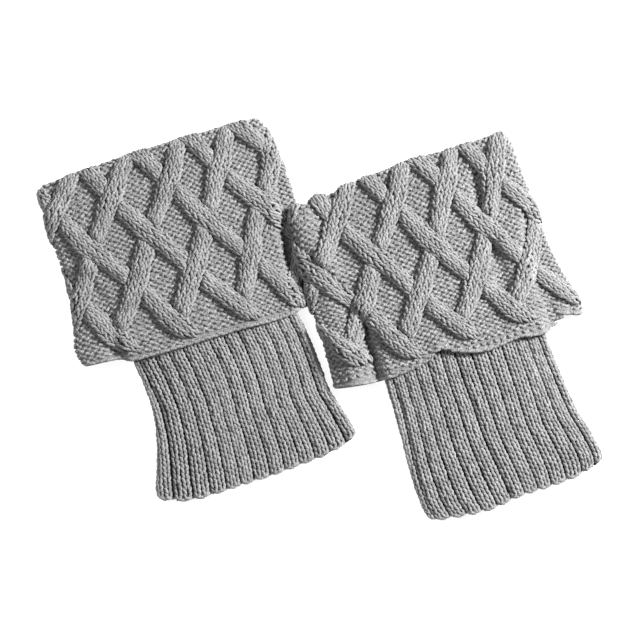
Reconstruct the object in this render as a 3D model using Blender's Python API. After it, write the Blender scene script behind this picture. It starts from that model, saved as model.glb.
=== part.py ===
"""A pair of knitted boot cuffs, laid flat side by side.

Each cuff is two knitted tubes joined end to end: a ribbed tube that goes into the boot, and a cable-knit top that
folds over at its upper edge and hangs down outside the ribbed tube. Laid flat, a tube is a ring of columns: a front
run, a round right edge, a back run and a round left edge. Each cuff has its own frame: across to the right, down
towards the ribbed hem, and up from the surface that it lies on. Lengths are millimetres, and MM makes them metres.
"""

import math
from typing import NamedTuple

import bmesh
import bpy

MM = 0.001

# Thicknesses and clearances of the knit
KNIT_WALL = 2.2
RIB_WALL = 3.0
FURROW_DEPTH = 1.3
CABLE_RISE = 2.8
SEAM_GAP = 0.3
SLIT_HALF = 0.4

# Distances from the middle of the slit to each layer, from the slit outwards
RIB_OUT = SLIT_HALF + RIB_WALL
FLAP_IN = RIB_OUT + SEAM_GAP
FLAP_OUT = FLAP_IN + KNIT_WALL
LEG_OUT = SLIT_HALF + KNIT_WALL
STACK = 2 * FLAP_OUT

# The fold at the top of a cuff, and the linking seam inside it where the two tubes meet
FOLD_RADIUS = (FLAP_OUT - SLIT_HALF) / 2
FOLD_MIDDLE = (FLAP_OUT + SLIT_HALF) / 2
CORNER_RADIUS = 6.0
SEAM_DOWN = 20.0

# The flap's sides lie nearly flat where no ribbed tube fills them: narrow margins stay up, wide ones sink fully
MARGIN_SLIT = 0.6
MARGIN_HEIGHT = 2 * KNIT_WALL + MARGIN_SLIT
MARGIN_RADIUS = MARGIN_HEIGHT / 2
NARROW_MARGIN = 5.0
WIDE_MARGIN = 15.0
SLOPE_RUN = 10.0
SLOPE_CLEAR = 1.0

# The diamond lattice of cables: one repeat across, and the rows where cables cross
REPEAT = 34.5
CROSSING_ROWS = 26.3
FIRST_CROSSING = -8.5
STEPS = 6
COLUMN = REPEAT / (2 * STEPS)
ROW = CROSSING_ROWS / STEPS
CABLE_HALF = 6.6 / COLUMN
CABLE_CROWN_HALF = 3.2 / COLUMN

# What a cable does at a crossing and at its lower end, in rows and in millimetres
CROSSING_SWELL = 0.12
DIP_START = 0.5
DIP_RUN = 3.4
LAST_CROSSING = FIRST_CROSSING + 4 * CROSSING_ROWS
RISING_END = LAST_CROSSING + 3
FALLING_END = LAST_CROSSING + 8
END_RUN = 5.5

# The flap's rows that keep to the lattice, and the middle of its front, whose columns keep their place
LAST_ROW_DOWN = 102.5
STILL_HALF = 20.0
WAVE_RISE = 0.4

# How wide the knit goes along with a crossing that has drifted, and where it is held at the flap's edges
DRIFT_SPREAD = 13.0
EDGE_HOLD = 20.0
FOLD_HOLD = 16.0
HEM_HOLD = 14.0

# How the ribbed tube comes down from the flap's back layer to the surface
STEP_DOWN_RUN = 14.0
STEP_DOWN_SHARES = (0, 0.35, 0.65, 1)
HIDDEN_RIB_ROWS = (SEAM_DOWN, 28, 37, 46, 61, 76, 95)
HIDDEN_SLIT_ROWS = (SEAM_DOWN, 46, 76)
OPEN_RIB_SHARES = (0.33, 0.67, 1)
LAST_RIB_ROW = 8.0

# A rib's crown between two furrows: its columns' shares of the way across, and how deep each lies
CROWN = ((0.27, 0.12), (0.5, 0.0), (0.73, 0.12))
EDGE_RIB_DEPTH = 0.25
SCALLOP = 0.9

EDGE_SEGMENTS = 4
BACK_SEGMENTS = 7
FOLD_SEGMENTS = 5
# Cables fade out over the far side of the fold, between these turns from the flap's face
CABLE_GONE_TURN = math.radians(165)
CABLE_FADE_TURN = math.radians(80)


class Side(NamedTuple):
    down: float
    left: float
    right: float


class Edge(NamedTuple):
    across: float
    down: float


class Furrow(NamedTuple):
    at_waist: float
    at_hem: float
    depth: float


class Wave(NamedTuple):
    """A soft ridge, or with a height below zero a trough, in the flap's front."""

    across: float
    start: float
    end: float
    half_width: float
    height: float


class Drift(NamedTuple):
    """How far one crossing of the lattice, counted by row and column, lies from its even place."""

    row: int
    column: int
    across: float
    down: float


class Cuff(NamedTuple):
    name: str
    top: tuple
    turn: float
    first_cable: float
    waist: float
    hem: float
    flap_sides: list
    flap_top: list
    flap_hem: list
    rib_sides: list
    rib_hem: list
    furrows: list
    waves: list
    drifts: list
    sinks: tuple


# Where the frame of each cuff stands in the pair, from the middle of the pair's footprint
PAIR_SHIFT = (0.63, 0.22)

LEFT = Cuff(
    name="left",
    top=(-100.8, 97.2),
    turn=16.3,
    first_cable=1.8,
    waist=114.0,
    hem=200.0,
    flap_sides=[
        Side(down=0, left=-72.0, right=71.0),
        Side(down=22, left=-72.0, right=72.0),
        Side(down=42, left=-71.0, right=73.3),
        Side(down=50, left=-71.2, right=71.3),
        Side(down=58, left=-71.6, right=66.9),
        Side(down=84, left=-72.5, right=66.4),
        Side(down=97, left=-76.8, right=66.2),
        Side(down=110, left=-74.0, right=66.0),
    ],
    flap_top=[
        Edge(across=-66, down=-1.5),
        Edge(across=-36, down=-3.6),
        Edge(across=0, down=-5.2),
        Edge(across=30, down=-5.4),
        Edge(across=66, down=-4.6),
    ],
    flap_hem=[
        Edge(across=-74, down=109.0),
        Edge(across=-51, down=110.8),
        Edge(across=-44, down=114.0),
        Edge(across=20, down=114.0),
        Edge(across=45, down=114.6),
        Edge(across=58, down=113.8),
        Edge(across=66, down=111.6),
    ],
    rib_sides=[
        Side(down=20, left=-69.4, right=69.3),
        Side(down=46, left=-58.0, right=63.0),
        Side(down=76, left=-46.0, right=58.4),
        Side(down=114, left=-45.0, right=58.0),
        Side(down=128, left=-43.4, right=60.3),
        Side(down=147, left=-42.6, right=62.2),
        Side(down=163, left=-45.2, right=63.4),
        Side(down=172, left=-47.6, right=66.2),
        Side(down=192, left=-54.0, right=71.4),
        Side(down=202, left=-56.0, right=71.6),
    ],
    rib_hem=[
        Edge(across=-56, down=196.0),
        Edge(across=-42, down=201.4),
        Edge(across=-30, down=203.4),
        Edge(across=0, down=202.8),
        Edge(across=30, down=201.4),
        Edge(across=57, down=198.4),
        Edge(across=71, down=193.0),
    ],
    furrows=[
        Furrow(at_waist=-39.6, at_hem=-44.0, depth=1.25),
        Furrow(at_waist=-31.6, at_hem=-33.0, depth=1.0),
        Furrow(at_waist=-23.2, at_hem=-22.2, depth=1.0),
        Furrow(at_waist=-14.2, at_hem=-12.2, depth=1.0),
        Furrow(at_waist=-5.6, at_hem=-3.4, depth=0.7),
        Furrow(at_waist=2.4, at_hem=5.0, depth=1.1),
        Furrow(at_waist=11.4, at_hem=15.0, depth=1.0),
        Furrow(at_waist=20.4, at_hem=24.2, depth=1.1),
        Furrow(at_waist=28.6, at_hem=33.8, depth=0.8),
        Furrow(at_waist=36.8, at_hem=43.4, depth=1.1),
        Furrow(at_waist=44.8, at_hem=53.0, depth=1.0),
        Furrow(at_waist=52.2, at_hem=63.6, depth=1.25),
    ],
    waves=[
        Wave(across=-63, start=66, end=125, half_width=12, height=1.2),
        Wave(across=-48, start=98, end=125, half_width=6, height=1.2),
        Wave(across=30, start=90, end=125, half_width=14, height=0.8),
    ],
    drifts=[
        Drift(row=0, column=-2, across=7.0, down=-4.5),
        Drift(row=0, column=-1, across=6.0, down=-3.2),
        Drift(row=0, column=0, across=2.7, down=-3.7),
        Drift(row=0, column=1, across=-2.2, down=-2.7),
        Drift(row=1, column=-2, across=2.5, down=-1.0),
        Drift(row=1, column=-1, across=3.6, down=-0.4),
        Drift(row=1, column=0, across=3.8, down=0.5),
        Drift(row=1, column=1, across=0.6, down=1.1),
        Drift(row=1, column=2, across=-1.3, down=-0.4),
        Drift(row=2, column=-2, across=-0.5, down=-1.1),
        Drift(row=2, column=-1, across=2.1, down=-0.6),
        Drift(row=2, column=0, across=2.2, down=0.0),
        Drift(row=2, column=1, across=0.5, down=-1.1),
        Drift(row=3, column=-2, across=-0.2, down=0.7),
        Drift(row=3, column=-1, across=2.2, down=0.6),
        Drift(row=3, column=0, across=4.6, down=1.8),
        Drift(row=3, column=1, across=5.2, down=4.0),
        Drift(row=4, column=-2, across=1.3, down=0.9),
        Drift(row=4, column=-1, across=3.0, down=3.2),
        Drift(row=4, column=0, across=8.3, down=3.8),
        Drift(row=4, column=1, across=9.6, down=4.2),
    ],
    sinks=(0.5, 1.0),
)

RIGHT = Cuff(
    name="right",
    top=(49.2, 89.4),
    turn=18.1,
    first_cable=-12.0,
    waist=118.0,
    hem=204.0,
    flap_sides=[
        Side(down=0, left=-72.0, right=67.2),
        Side(down=24, left=-73.2, right=68.7),
        Side(down=48, left=-75.0, right=69.9),
        Side(down=72, left=-77.0, right=71.0),
        Side(down=96, left=-78.8, right=73.3),
        Side(down=112, left=-80.0, right=75.0),
    ],
    flap_top=[
        Edge(across=-66, down=2.6),
        Edge(across=-45, down=0.8),
        Edge(across=-20, down=-1.8),
        Edge(across=5, down=-3.8),
        Edge(across=34, down=-2.6),
        Edge(across=60, down=-2.8),
    ],
    flap_hem=[
        Edge(across=-81, down=110.0),
        Edge(across=-63, down=113.6),
        Edge(across=-45, down=116.0),
        Edge(across=-27, down=114.2),
        Edge(across=-12, down=108.8),
        Edge(across=0, down=114.8),
        Edge(across=12, down=118.2),
        Edge(across=34, down=117.0),
        Edge(across=50, down=119.3),
        Edge(across=65, down=112.6),
        Edge(across=73, down=115.2),
    ],
    rib_sides=[
        Side(down=20, left=-70.0, right=65.7),
        Side(down=46, left=-57.0, right=58.6),
        Side(down=76, left=-47.2, right=52.4),
        Side(down=100, left=-47.0, right=51.9),
        Side(down=118, left=-48.8, right=51.6),
        Side(down=144, left=-49.5, right=53.4),
        Side(down=168, left=-51.3, right=55.8),
        Side(down=186, left=-51.6, right=60.0),
        Side(down=198, left=-50.8, right=61.8),
        Side(down=208, left=-47.4, right=60.0),
    ],
    rib_hem=[
        Edge(across=-48, down=204.6),
        Edge(across=-34, down=207.0),
        Edge(across=-13, down=209.0),
        Edge(across=8, down=206.8),
        Edge(across=42, down=206.6),
        Edge(across=60, down=202.0),
    ],
    furrows=[
        Furrow(at_waist=-44.0, at_hem=-46.2, depth=1.2),
        Furrow(at_waist=-37.0, at_hem=-37.0, depth=1.0),
        Furrow(at_waist=-29.6, at_hem=-27.8, depth=1.0),
        Furrow(at_waist=-21.4, at_hem=-18.4, depth=1.0),
        Furrow(at_waist=-12.4, at_hem=-8.4, depth=1.0),
        Furrow(at_waist=-4.0, at_hem=1.2, depth=1.35),
        Furrow(at_waist=5.4, at_hem=10.2, depth=1.0),
        Furrow(at_waist=14.8, at_hem=18.6, depth=1.0),
        Furrow(at_waist=24.0, at_hem=27.2, depth=1.0),
        Furrow(at_waist=32.8, at_hem=36.8, depth=0.9),
        Furrow(at_waist=40.0, at_hem=47.2, depth=1.1),
        Furrow(at_waist=46.8, at_hem=55.4, depth=1.2),
    ],
    waves=[
        Wave(across=-67, start=50, end=130, half_width=11, height=1.6),
        Wave(across=-52.5, start=62, end=120, half_width=5, height=-3.0),
        Wave(across=-12, start=92, end=130, half_width=8, height=1.8),
        Wave(across=66, start=98, end=130, half_width=6, height=2.0),
    ],
    drifts=[
        Drift(row=0, column=-2, across=4.0, down=-7.0),
        Drift(row=0, column=-1, across=3.2, down=-5.6),
        Drift(row=0, column=0, across=-0.1, down=-4.0),
        Drift(row=0, column=1, across=-3.8, down=-4.7),
        Drift(row=0, column=2, across=-2.0, down=-5.0),
        Drift(row=1, column=-1, across=0.8, down=-0.5),
        Drift(row=1, column=0, across=0.3, down=0.6),
        Drift(row=1, column=1, across=-0.7, down=0.6),
        Drift(row=1, column=2, across=-4.7, down=1.8),
        Drift(row=2, column=-2, across=-0.9, down=-1.6),
        Drift(row=2, column=-1, across=-1.9, down=1.1),
        Drift(row=2, column=0, across=-1.7, down=2.9),
        Drift(row=2, column=1, across=-1.3, down=3.5),
        Drift(row=2, column=2, across=-0.2, down=5.5),
        Drift(row=3, column=-1, across=-0.7, down=0.7),
        Drift(row=3, column=0, across=-0.9, down=3.7),
        Drift(row=3, column=1, across=-1.1, down=5.8),
        Drift(row=3, column=2, across=-1.1, down=6.7),
        Drift(row=4, column=-2, across=5.1, down=-3.5),
        Drift(row=4, column=-1, across=-2.5, down=2.5),
        Drift(row=4, column=0, across=-2.4, down=1.6),
        Drift(row=4, column=1, across=-3.1, down=2.3),
        Drift(row=4, column=2, across=-2.1, down=6.0),
    ],
    sinks=(0.35, 0.7),
)


def smooth(x):
    """A soft step from 0 at x = 0 to 1 at x = 1."""
    x = min(max(x, 0.0), 1.0)
    return x * x * (3 - 2 * x)


def blend(a, b, share):
    return a + (b - a) * share


def through(rows, value, measure, at):
    """Reads `value` off a smooth line through the rows, at a place along `measure`, level past both ends."""
    places = [getattr(row, measure) for row in rows]
    levels = [getattr(row, value) for row in rows]
    if at <= places[0]:
        return levels[0]
    if at >= places[-1]:
        return levels[-1]
    k = max(n for n in range(len(places) - 1) if places[n] <= at)
    run = places[k + 1] - places[k]
    t = (at - places[k]) / run

    def slope(n):
        before, after = max(n - 1, 0), min(n + 1, len(places) - 1)
        return (levels[after] - levels[before]) / (places[after] - places[before]) * run

    return (
        (2 * t**3 - 3 * t**2 + 1) * levels[k]
        + (t**3 - 2 * t**2 + t) * slope(k)
        + (3 * t**2 - 2 * t**3) * levels[k + 1]
        + (t**3 - t**2) * slope(k + 1)
    )


def sides(rows, down):
    return through(rows, "left", "down", down), through(rows, "right", "down", down)


def edge_line(rows, across):
    return through(rows, "down", "across", across)


def cable_height(cuff, across, down):
    """How far the cables rise at a place on the flap, from 0 on the plain ground to about 1."""
    column = (across - cuff.first_cable) / COLUMN
    row = (down - FIRST_CROSSING) / ROW
    falling = (column - row) % (2 * STEPS) - STEPS
    rising = (column + row) % (2 * STEPS) - STEPS
    crossing = round(row / STEPS)
    rows_away = abs(row - crossing * STEPS)

    def profile(away):
        return smooth((CABLE_HALF - abs(away)) / (CABLE_HALF - CABLE_CROWN_HALF))

    falling_height = profile(falling) * (1 - smooth((down - FALLING_END) / END_RUN))
    rising_height = profile(rising) * (1 - smooth((down - RISING_END) / END_RUN))
    swell = 1 + CROSSING_SWELL * (1 - smooth(rows_away / DIP_RUN))
    dip = smooth((rows_away - DIP_START) / DIP_RUN)
    if crossing % 2:
        return max(rising_height * swell, falling_height * dip)
    return max(falling_height * swell, rising_height * dip)


def drift_at(cuff, across, down):
    """How far a place of the even lattice has moved across and down: the knit goes along with the crossings."""
    weights = moved_across = moved_down = 0.0
    for drift in cuff.drifts:
        crossing = cuff.first_cable + REPEAT * (drift.column + 0.5 * ((drift.row + 1) % 2))
        level = FIRST_CROSSING + CROSSING_ROWS * drift.row
        away = (across - crossing) ** 2 + (down - level) ** 2
        weight = math.exp(-away / (2 * DRIFT_SPREAD**2)) + 1e-12
        weights += weight
        moved_across += weight * drift.across
        moved_down += weight * drift.down
    return moved_across / weights, moved_down / weights


def flap_slope(cuff, across, flap_edges, rib_edges):
    """How far the flap's front sinks beside the ribbed tube, towards its lower margins."""
    sunk = 0.0
    for side, flap_edge, rib_edge, sink in zip((-1, 1), flap_edges, rib_edges, cuff.sinks):
        margin = abs(flap_edge - rib_edge)
        share = sink * smooth((margin - NARROW_MARGIN) / (WIDE_MARGIN - NARROW_MARGIN))
        run = min(max(margin - MARGIN_RADIUS - SLOPE_CLEAR, 1), SLOPE_RUN)
        beyond = side * (across - rib_edge) - SLOPE_CLEAR
        sunk = max(sunk, (STACK - MARGIN_HEIGHT) * share * smooth(beyond / run))
    return sunk


def flap_front(cuff, across, down, flap_edges, rib_edges):
    """The height of the flap's plain front surface."""
    lift = 0.0
    for wave in cuff.waves:
        near = max(1 - ((across - wave.across) / wave.half_width) ** 2, 0) ** 2
        lift += wave.height * near * smooth((down - wave.start) / (wave.end - wave.start) / WAVE_RISE)
    return STACK - flap_slope(cuff, across, flap_edges, rib_edges) + lift


def flap_columns(cuff):
    """The flap's columns: a place on the run or edge, and where it is in the lattice."""
    reach = -FLAP_OUT - cuff.flap_sides[0].left
    first = math.ceil((-reach + 1 - cuff.first_cable) / COLUMN)
    last = math.floor((reach - 1 - cuff.first_cable) / COLUMN)
    inside = [cuff.first_cable + n * COLUMN for n in range(first, last + 1)]
    columns = [("front", across) for across in [-reach, *inside, reach]]
    turns = [math.pi * n / EDGE_SEGMENTS for n in range(1, EDGE_SEGMENTS)]
    columns += [("right", math.pi / 2 - turn) for turn in turns]
    columns += [("back", reach - 2 * reach * n / BACK_SEGMENTS) for n in range(BACK_SEGMENTS + 1)]
    columns += [("left", math.pi / 2 - turn) for turn in reversed(turns)]
    return columns, reach


def flap_point(cuff, column, reach, down, depth, rise):
    """A point of the flap: `depth` below its outer face, with the cables' rise on the front and the round edges."""
    kind, place = column
    flap_edges = sides(cuff.flap_sides, down)
    rib_edges = sides(cuff.rib_sides, max(down, SEAM_DOWN))
    ends = []
    for side, edge in zip((-1, 1), flap_edges):
        probe = edge - side * MARGIN_RADIUS
        sunk = flap_slope(cuff, probe, flap_edges, rib_edges)
        radius = (STACK - sunk) / 2
        ends.append((edge - side * radius, radius))
    if kind in ("left", "right"):
        side = 1 if kind == "right" else -1
        middle, radius = ends[side > 0]
        fade = 0.5 + 0.5 * math.sin(place)
        reach_out = radius - depth + rise * fade
        return middle + side * reach_out * math.cos(place), radius + reach_out * math.sin(place)
    side = 1 if place > 0 else -1
    shift = ends[side > 0][0] - side * reach
    across = place + shift * smooth((abs(place) - STILL_HALF) / (reach - STILL_HALF))
    if kind == "back":
        return across, depth
    return across, flap_front(cuff, across, down, flap_edges, rib_edges) - depth + rise


def fold_line(cuff, column, reach):
    """How far down the middle of the fold is at a column: the top edge, with its corners rounded."""
    kind, place = column
    if kind in ("left", "right"):
        side = 1 if kind == "right" else -1
        inward = FLAP_OUT * (1 - math.cos(place))
        across = side * (reach + FLAP_OUT - inward)
    else:
        across = place
        inward = FLAP_OUT + reach - abs(place)
    within = max(CORNER_RADIUS - inward, 0)
    corner = CORNER_RADIUS - math.sqrt(CORNER_RADIUS**2 - within**2)
    return edge_line(cuff.flap_top, across) + corner + FOLD_RADIUS


def flap_rings(cuff):
    """The flap as closed rings that go once round its folded wall, and the cables' rise at each point."""
    columns, reach = flap_columns(cuff)
    lattice_rows = math.floor((LAST_ROW_DOWN - FIRST_CROSSING) / ROW)
    fixed = [FIRST_CROSSING + ROW * n for n in range(STEPS, lattice_rows + 1)]
    inner_rows = [*fixed[1::2], fixed[-1]] if len(fixed) % 2 else fixed[1::2]
    rings, rises = [], []

    def add(rows):
        rings.append([point for point, _ in rows])
        rises.append([rise for _, rise in rows])

    def at(column, down, depth, rise=0.0):
        across, up = flap_point(cuff, column, reach, down, depth, rise)
        return (across, down, up), rise

    def knit_rise(column, down, share=1.0):
        kind, place = column
        if kind == "back":
            return 0.0
        across = place
        if kind in ("left", "right"):
            side = 1 if kind == "right" else -1
            across = side * (reach + FLAP_OUT * (math.pi / 2 - place))
        return CABLE_RISE * share * cable_height(cuff, across, down)

    def hem(column):
        kind, place = column
        across = place if kind in ("front", "back") else (reach + FLAP_OUT) * (1 if kind == "right" else -1)
        return edge_line(cuff.flap_hem, across)

    def drifted(column, down):
        """Where a column of the front really lies at a row: it drifts with the crossings, but not at the edges."""
        kind, place = column
        if kind != "front":
            return column, down
        moved_across, moved_down = drift_at(cuff, place, down)
        hold = smooth((reach - abs(place)) / EDGE_HOLD) * smooth((hem(column) - down) / HEM_HOLD)
        fold_hold = smooth((down - fold_line(cuff, column, reach)) / FOLD_HOLD)
        return (kind, place + hold * moved_across), down + hold * fold_hold * moved_down

    def outer(column, down):
        return at(*drifted(column, down), 0, knit_rise(column, down))

    folds = [fold_line(cuff, column, reach) for column in columns]
    # Down the outer face from the fold to the hem
    for n in range(1, STEPS - 1):
        share = n / (STEPS - 1)
        add([outer(column, blend(fold, fixed[0], share)) for column, fold in zip(columns, folds)])
    for down in fixed:
        add([outer(column, down) for column in columns])
    add([outer(column, blend(fixed[-1], hem(column), 0.5)) for column in columns])
    add([at(column, hem(column), 0) for column in columns])
    # Up the inner face from the hem to the fold
    add([at(column, hem(column), KNIT_WALL) for column in columns])
    for down in reversed(inner_rows):
        add([at(column, down, KNIT_WALL) for column in columns])
    # The tight inside of the fold, then the leg down to the linking seam and back up the slit
    inside = KNIT_WALL + FLAP_IN - FOLD_MIDDLE
    add([at(column, fold, KNIT_WALL) for column, fold in zip(columns, folds)])
    add([at(column, fold - (FLAP_IN - FOLD_MIDDLE), inside) for column, fold in zip(columns, folds)])
    add([at(column, fold, FLAP_OUT - LEG_OUT) for column, fold in zip(columns, folds)])
    add([at(column, SEAM_DOWN - SEAM_GAP, FLAP_OUT - LEG_OUT) for column in columns])
    add([at(column, SEAM_DOWN - SEAM_GAP, FLAP_OUT - SLIT_HALF) for column in columns])
    # Over the outside of the fold
    for n in range(FOLD_SEGMENTS + 1):
        turn = math.pi * (1 - n / FOLD_SEGMENTS)
        rows = []
        for even_column, even_fold in zip(columns, folds):
            unrolled = even_fold - FOLD_RADIUS * turn
            rise = knit_rise(even_column, unrolled, smooth((CABLE_GONE_TURN - turn) / CABLE_FADE_TURN))
            column, _ = drifted(even_column, unrolled)
            kept = smooth((CABLE_GONE_TURN - turn) / CABLE_GONE_TURN)
            column = (column[0], blend(even_column[1], column[1], kept))
            fold = fold_line(cuff, column, reach)
            radius = FOLD_RADIUS + rise
            depth = FLAP_OUT - FOLD_MIDDLE - FOLD_RADIUS * math.cos(turn)
            lifted = rise * math.cos(turn) if turn < math.pi / 2 else 0.0
            point, _ = at(column, fold - radius * math.sin(turn), depth, lifted)
            rows.append((point, rise))
        add(rows)
    return rings, rises


def rib_columns(cuff):
    """The ribbed tube's columns: shares of the run at the waist and the hem, and how deep each lies below a crown."""
    front = [("front", 0.0, 0.0, EDGE_RIB_DEPTH)]
    waist_left, waist_right = rib_run(cuff, cuff.waist)
    hem_left, hem_right = rib_run(cuff, cuff.hem)

    def shares(at_waist, at_hem):
        waist_share = (at_waist - waist_left) / (waist_right - waist_left)
        return waist_share, (at_hem - hem_left) / (hem_right - hem_left)

    furrows = [(*shares(row.at_waist, row.at_hem), row.depth) for row in cuff.furrows]
    first, last = furrows[0], furrows[-1]
    front.append(("front", first[0] / 2, first[1] / 2, 0.0))
    for furrow, following in zip(furrows, furrows[1:]):
        front.append(("front", *furrow))
        for share, depth in CROWN:
            waist_share = blend(furrow[0], following[0], share)
            front.append(("front", waist_share, blend(furrow[1], following[1], share), depth))
    front.append(("front", *last))
    front.append(("front", (1 + last[0]) / 2, (1 + last[1]) / 2, 0.0))
    front.append(("front", 1.0, 1.0, EDGE_RIB_DEPTH))
    turns = [math.pi * n / EDGE_SEGMENTS for n in range(1, EDGE_SEGMENTS)]
    right = [("right", math.pi / 2 - turn, 0.0, 0.0) for turn in turns]
    back = [("back", 1 - n / BACK_SEGMENTS, 1 - n / BACK_SEGMENTS, 0.0) for n in range(BACK_SEGMENTS + 1)]
    left = [("left", math.pi / 2 - turn, 0.0, 0.0) for turn in reversed(turns)]
    return front + right + back + left


def rib_run(cuff, down):
    """Where the flat run of the ribbed tube's front begins and ends."""
    left, right = sides(cuff.rib_sides, down)
    return left + RIB_OUT, right - RIB_OUT


def step_down(cuff):
    """Where the ribbed tube, clear of the flap's hem, starts to come down to the surface."""
    return max(row.down for row in cuff.flap_hem) + SEAM_GAP


def rib_point(cuff, column, down, away):
    """A point of the ribbed tube, `away` from the middle of its slit."""
    kind, place, hem_place, _ = column
    middle = blend(FLAP_OUT, RIB_OUT, smooth((down - step_down(cuff)) / STEP_DOWN_RUN))
    start, end = rib_run(cuff, down)
    if kind in ("left", "right"):
        side, corner = (1, end) if kind == "right" else (-1, start)
        return corner + side * away * math.cos(place), down, middle + away * math.sin(place)
    share = blend(place, hem_place, smooth((down - cuff.waist) / (cuff.hem - cuff.waist)))
    across = blend(start, end, share)
    return across, down, middle + (away if kind == "front" else -away)


def rib_rings(cuff):
    """The ribbed tube as closed rings that go once round its wall."""
    columns = rib_columns(cuff)
    slope = [step_down(cuff) + STEP_DOWN_RUN * share for share in STEP_DOWN_SHARES]
    rest = [blend(slope[-1], cuff.hem - LAST_RIB_ROW, share) for share in OPEN_RIB_SHARES]
    rows = [*HIDDEN_RIB_ROWS, *slope, *rest]
    inner_rows = [*HIDDEN_SLIT_ROWS, slope[0], slope[-1], rest[1]]

    def hem(column):
        start, end = rib_run(cuff, cuff.hem)
        kind, _, hem_place, depth = column
        across = blend(start, end, hem_place)
        if kind in ("left", "right"):
            across = end + RIB_OUT if kind == "right" else start - RIB_OUT
        scallop = SCALLOP * depth if kind == "front" else 0.0
        return edge_line(cuff.rib_hem, across) - scallop

    def face(column):
        return RIB_OUT - FURROW_DEPTH * column[3]

    rings = [[rib_point(cuff, column, down, face(column)) for column in columns] for down in rows]
    rings.append([rib_point(cuff, column, hem(column), face(column)) for column in columns])
    rings.append([rib_point(cuff, column, hem(column), SLIT_HALF) for column in columns])
    rings += [[rib_point(cuff, column, down, SLIT_HALF) for column in columns] for down in reversed(inner_rows)]
    return rings, [[column[3] for column in columns] for _ in rings]


def loft(name, rings, heights, material, collection, parent):
    """Joins closed rings into one closed wall, with each quad split along the way its relief runs."""
    mesh = bmesh.new()
    grid = [[mesh.verts.new((x * MM, -y * MM, z * MM)) for x, y, z in ring] for ring in rings]
    rows, columns = len(grid), len(grid[0])
    for r in range(rows):
        for c in range(columns):
            below, beside = (r + 1) % rows, (c + 1) % columns
            corners = [(r, c), (r, beside), (below, beside), (below, c)]
            level = [heights[i][j] for i, j in corners]
            verts = [grid[i][j] for i, j in corners]
            first, second = abs(level[0] - level[2]), abs(level[1] - level[3])
            tied = abs(first - second) < 1e-6
            split_first = level[0] + level[2] >= level[1] + level[3] if tied else first < second
            if split_first:
                triangles = (verts[0], verts[1], verts[2]), (verts[0], verts[2], verts[3])
            else:
                triangles = (verts[1], verts[2], verts[3]), (verts[1], verts[3], verts[0])
            for triangle in triangles:
                mesh.faces.new(triangle)
    bmesh.ops.recalc_face_normals(mesh, faces=mesh.faces[:])
    data = bpy.data.meshes.new(name)
    mesh.to_mesh(data)
    mesh.free()
    data.materials.append(material)
    data.shade_smooth()
    data.set_sharp_from_angle(angle=math.radians(50))
    piece = bpy.data.objects.new(name, data)
    collection.objects.link(piece)
    piece.parent = parent
    return piece


def knit_material(name, colour, roughness):
    material = bpy.data.materials.new(name)
    material.use_nodes = True
    shader = material.node_tree.nodes["Principled BSDF"]
    shader.inputs["Base Color"].default_value = (*colour, 1)
    shader.inputs["Roughness"].default_value = roughness
    shader.inputs["Metallic"].default_value = 0.0
    return material


def cuff_frame(cuff, collection):
    """An empty at the middle of the cuff's top edge, turned the way the cuff lies."""
    frame = bpy.data.objects.new(cuff.name + "_cuff", None)
    collection.objects.link(frame)
    frame.location = ((cuff.top[0] - PAIR_SHIFT[0]) * MM, (cuff.top[1] - PAIR_SHIFT[1]) * MM, 0)
    frame.rotation_euler = (0, 0, math.radians(cuff.turn))
    return frame


def main():
    for leftover in list(bpy.data.objects):
        bpy.data.objects.remove(leftover, do_unlink=True)
    collection = bpy.data.collections.new("boot_cuffs")
    bpy.context.scene.collection.children.link(collection)
    cable_knit = knit_material("grey_cable_knit", (0.30, 0.30, 0.305), 0.95)
    rib_knit = knit_material("grey_rib_knit", (0.28, 0.28, 0.285), 0.95)
    for cuff in (LEFT, RIGHT):
        frame = cuff_frame(cuff, collection)
        rings, rises = flap_rings(cuff)
        loft(cuff.name + "_cable_flap", rings, rises, cable_knit, collection, frame)
        rings, depths = rib_rings(cuff)
        loft(cuff.name + "_rib_tube", rings, depths, rib_knit, collection, frame)


main()
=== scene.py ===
"""The looks of a pair of knitted boot cuffs, lying flat. Stitches that show are loops of yarn on cloth."""

import math
from functools import partial
from typing import NamedTuple

import bpy
import numpy as np
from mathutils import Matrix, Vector


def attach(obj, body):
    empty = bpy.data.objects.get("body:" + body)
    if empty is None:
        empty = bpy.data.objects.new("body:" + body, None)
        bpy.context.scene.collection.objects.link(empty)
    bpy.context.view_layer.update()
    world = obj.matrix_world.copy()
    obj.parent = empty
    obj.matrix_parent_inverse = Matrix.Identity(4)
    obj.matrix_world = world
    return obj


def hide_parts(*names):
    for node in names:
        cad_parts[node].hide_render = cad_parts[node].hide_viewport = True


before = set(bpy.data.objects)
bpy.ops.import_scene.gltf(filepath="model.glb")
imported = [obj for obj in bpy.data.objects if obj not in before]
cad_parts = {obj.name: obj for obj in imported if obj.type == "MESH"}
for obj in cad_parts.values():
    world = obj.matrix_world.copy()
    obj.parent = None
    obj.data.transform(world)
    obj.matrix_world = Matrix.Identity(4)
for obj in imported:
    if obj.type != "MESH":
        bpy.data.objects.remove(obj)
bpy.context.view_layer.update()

MM = 0.001

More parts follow.
